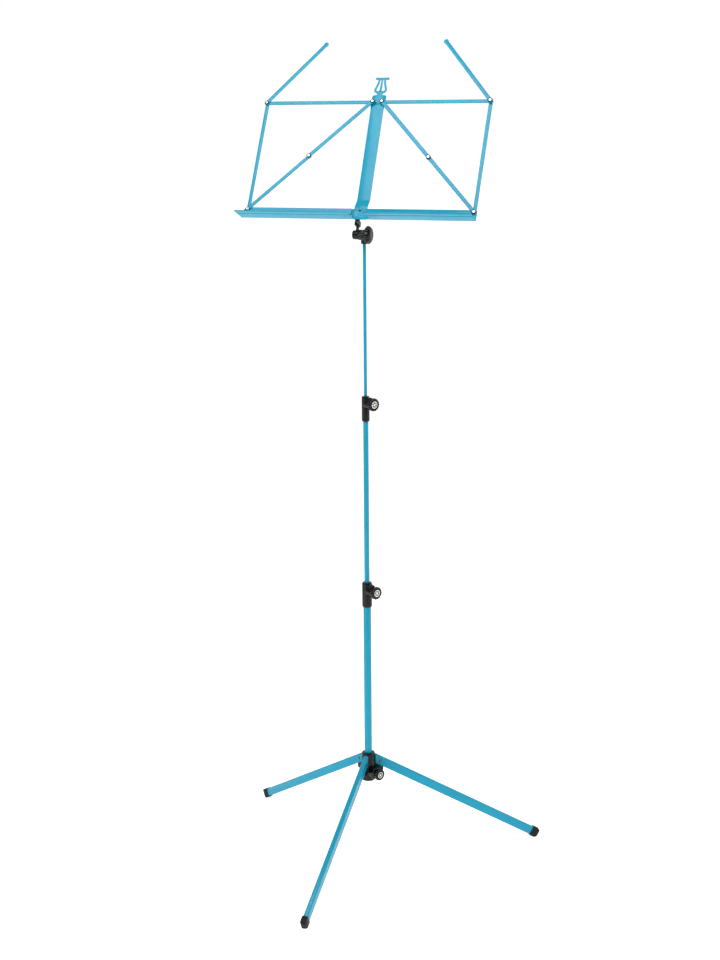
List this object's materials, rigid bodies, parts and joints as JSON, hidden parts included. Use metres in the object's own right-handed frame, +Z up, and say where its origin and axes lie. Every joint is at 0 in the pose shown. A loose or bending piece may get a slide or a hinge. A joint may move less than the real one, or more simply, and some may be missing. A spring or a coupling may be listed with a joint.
{
  "type": "folding music stand",
  "caption": "Folding tripod music stand with a telescoping clamped pole and a tilting scissor-frame desk with ledge and page arms.",
  "frame": {"origin": "on the floor, under the middle of the outline; the pole stands 85.13 mm behind it", "axes": "+X to the right as the musician sees it, +Y away from the musician, +Z up; the desk faces -Y"},
  "size_m": [0.604, 0.5246, 1.5499],
  "materials": {
    "blue": "gloss powder coat",
    "black": "moulded, satin gloss",
    "silver": "satin plated trim disc",
    "steel": "bright zinc plated",
    "rubber": "moulded, matt"
  },
  "bodies": {
    "base": {"lower_tube": "blue", "lower_collar": "black"},
    "lower_clamp_screw": {"lower_knob": "black", "lower_knob_inlay": "silver", "lower_stud": "steel"},
    "hub": {"tripod_hub": "black", "leg_rivet_front": "steel", "leg_rivet_right": "steel", "leg_rivet_left": "steel"},
    "hub_clamp_screw": {"hub_knob": "black", "hub_knob_inlay": "silver", "hub_stud": "steel"},
    "leg_front_body": {"leg_front": "blue", "foot_cap_front": "rubber"},
    "leg_right_body": {"leg_right": "blue", "foot_cap_right": "rubber"},
    "leg_left_body": {"leg_left": "blue", "foot_cap_left": "rubber"},
    "mid_guide": {"mid_tube_guide": "black"},
    "mid_stage": {"mid_tube": "blue", "upper_collar": "black"},
    "upper_clamp_screw": {"upper_knob": "black", "upper_knob_inlay": "silver", "upper_stud": "steel"},
    "rod_guide": {"top_rod_guide": "black"},
    "rod_stage": {"top_rod": "blue", "tilt_head": "black", "tilt_bolt": "steel", "tilt_bolt_cap": "black"},
    "tilt_knob_body": {"tilt_knob": "black"},
    "desk": {"desk_spine": "blue", "desk_bracket": "black", "bracket_rivet": "steel", "ledge_rivet_left": "steel", "ledge_rivet_right": "steel", "top_inner_rivet_left": "steel", "top_inner_rivet_right": "steel"},
    "ledge_left_body": {"ledge_left": "blue", "bottom_outer_rivet_left": "steel"},
    "side_bar_left_body": {"side_bar_left": "blue"},
    "top_bar_left_body": {"top_bar_left": "blue", "top_outer_rivet_left": "steel"},
    "diagonal_upper_left_body": {"diagonal_upper_left": "blue", "mid_rivet_front_left": "steel"},
    "diagonal_lower_left_body": {"diagonal_lower_left": "blue", "mid_rivet_back_left": "steel"},
    "page_arm_left_body": {"page_arm_left": "blue"},
    "ledge_right_body": {"ledge_right": "blue", "bottom_outer_rivet_right": "steel"},
    "side_bar_right_body": {"side_bar_right": "blue"},
    "top_bar_right_body": {"top_bar_right": "blue", "top_outer_rivet_right": "steel"},
    "diagonal_upper_right_body": {"diagonal_upper_right": "blue", "mid_rivet_front_right": "steel"},
    "diagonal_lower_right_body": {"diagonal_lower_right": "blue", "mid_rivet_back_right": "steel"},
    "page_arm_right_body": {"page_arm_right": "blue"}
  },
  "joints": [
    {"name": "hub_slide", "type": "slide", "parent": "base", "child": "hub", "axis": [0, 0, 1], "range_m": [0, 0.285]},
    {"name": "mid_slide", "type": "slide", "parent": "base", "child": "mid_guide", "axis": [0, 0, 1], "range_m": [-0.305, 0]},
    {"name": "mid_turn", "type": "hinge", "parent": "mid_guide", "child": "mid_stage", "pos_m": [0, 0.08513, 0.5], "axis": [0, 0, 1], "continuous": true},
    {"name": "rod_slide", "type": "slide", "parent": "mid_stage", "child": "rod_guide", "axis": [0, 0, 1], "range_m": [-0.275, 0]},
    {"name": "rod_turn", "type": "hinge", "parent": "rod_guide", "child": "rod_stage", "pos_m": [0, 0.08513, 0.9], "axis": [0, 0, 1], "continuous": true},
    {"name": "lower_clamp_turn", "type": "hinge", "parent": "base", "child": "lower_clamp_screw", "pos_m": [0, 0.08513, 0.533], "axis": [0.866, -0.5, 0], "range_deg": [0, 360]},
    {"name": "upper_clamp_turn", "type": "hinge", "parent": "mid_stage", "child": "upper_clamp_screw", "pos_m": [0, 0.08513, 0.894], "axis": [0.866, -0.5, 0], "range_deg": [0, 360]},
    {"name": "hub_clamp_turn", "type": "hinge", "parent": "hub", "child": "hub_clamp_screw", "pos_m": [0, 0.08513, 0.168], "axis": [0.866, -0.5, 0], "range_deg": [0, 360]},
    {"name": "leg_front_fold", "type": "hinge", "parent": "hub", "child": "leg_front_body", "pos_m": [0, 0.06233, 0.186], "axis": [1, 0, 0], "range_deg": [0, 60]},
    {"name": "leg_right_fold", "type": "hinge", "parent": "hub", "child": "leg_right_body", "pos_m": [0.01974, 0.09653, 0.186], "axis": [-0.5, 0.866, 0], "range_deg": [0, 60]},
    {"name": "leg_left_fold", "type": "hinge", "parent": "hub", "child": "leg_left_body", "pos_m": [-0.01974, 0.09653, 0.186], "axis": [-0.5, -0.866, 0], "range_deg": [0, 60]},
    {"name": "desk_tilt", "type": "hinge", "parent": "rod_stage", "child": "desk", "pos_m": [-0.01, 0.07313, 1.2046], "axis": [-1, 0, 0], "range_deg": [-27.6, 55]},
    {"name": "tilt_knob_turn", "type": "hinge", "parent": "rod_stage", "child": "tilt_knob_body", "pos_m": [-0.01, 0.07313, 1.2046], "axis": [1, 0, 0], "range_deg": [0, 360]},
    {"name": "ledge_left_fold", "type": "hinge", "parent": "desk", "child": "ledge_left_body", "pos_m": [-0.016, 0.08279, 1.2466], "axis": [0, 0.8862, -0.4633], "range_deg": [0, 85]},
    {"name": "side_bar_left_turn", "type": "hinge", "parent": "ledge_left_body", "child": "side_bar_left_body", "pos_m": [-0.228, 0.08279, 1.2466], "axis": [0, 0.8862, -0.4633], "range_deg": [-85.1, 0]},
    {"name": "top_bar_left_turn", "type": "hinge", "parent": "desk", "child": "top_bar_left_body", "pos_m": [-0.016, 0.18286, 1.43803], "axis": [0, 0.8862, -0.4633], "range_deg": [0, 85.1]},
    {"name": "diagonal_upper_left_turn", "type": "hinge", "parent": "desk", "child": "diagonal_upper_left_body", "pos_m": [-0.016, 0.18286, 1.43803], "axis": [0, 0.8862, -0.4633], "range_deg": [-43.54, 0]},
    {"name": "diagonal_lower_left_turn", "type": "hinge", "parent": "ledge_left_body", "child": "diagonal_lower_left_body", "pos_m": [-0.228, 0.08279, 1.2466], "axis": [0, 0.8862, -0.4633], "range_deg": [0, 44.59]},
    {"name": "page_arm_left_turn", "type": "hinge", "parent": "top_bar_left_body", "child": "page_arm_left_body", "pos_m": [-0.228, 0.18286, 1.43803], "axis": [0, 0.8862, -0.4633], "range_deg": [-130, 50]},
    {"name": "ledge_right_fold", "type": "hinge", "parent": "desk", "child": "ledge_right_body", "pos_m": [0.002, 0.08279, 1.2466], "axis": [0, -0.8862, 0.4633], "range_deg": [0, 85]},
    {"name": "side_bar_right_turn", "type": "hinge", "parent": "ledge_right_body", "child": "side_bar_right_body", "pos_m": [0.208, 0.08279, 1.2466], "axis": [0, -0.8862, 0.4633], "range_deg": [-85.1, 0]},
    {"name": "top_bar_right_turn", "type": "hinge", "parent": "desk", "child": "top_bar_right_body", "pos_m": [0.002, 0.18286, 1.43803], "axis": [0, -0.8862, 0.4633], "range_deg": [0, 85.1]},
    {"name": "diagonal_upper_right_turn", "type": "hinge", "parent": "desk", "child": "diagonal_upper_right_body", "pos_m": [0.002, 0.18286, 1.43803], "axis": [0, -0.8862, 0.4633], "range_deg": [-42.74, 0]},
    {"name": "diagonal_lower_right_turn", "type": "hinge", "parent": "ledge_right_body", "child": "diagonal_lower_right_body", "pos_m": [0.208, 0.08279, 1.2466], "axis": [0, -0.8862, 0.4633], "range_deg": [0, 45.39]},
    {"name": "page_arm_right_turn", "type": "hinge", "parent": "top_bar_right_body", "child": "page_arm_right_body", "pos_m": [0.208, 0.18286, 1.43803], "axis": [0, -0.8862, 0.4633], "range_deg": [-130, 50]}
  ],
  "couplings": [
    {"joint": "side_bar_left_turn", "follows": "ledge_left_fold", "ratio": -1},
    {"joint": "top_bar_left_turn", "follows": "ledge_left_fold", "ratio": 1},
    {"joint": "diagonal_upper_left_turn", "follows": "ledge_left_fold", "ratio": -0.51105},
    {"joint": "diagonal_lower_left_turn", "follows": "ledge_left_fold", "ratio": 0.52338},
    {"joint": "side_bar_right_turn", "follows": "ledge_right_fold", "ratio": -1},
    {"joint": "top_bar_right_turn", "follows": "ledge_right_fold", "ratio": 1},
    {"joint": "diagonal_upper_right_turn", "follows": "ledge_right_fold", "ratio": -0.50159},
    {"joint": "diagonal_lower_right_turn", "follows": "ledge_right_fold", "ratio": 0.53284}
  ]
}
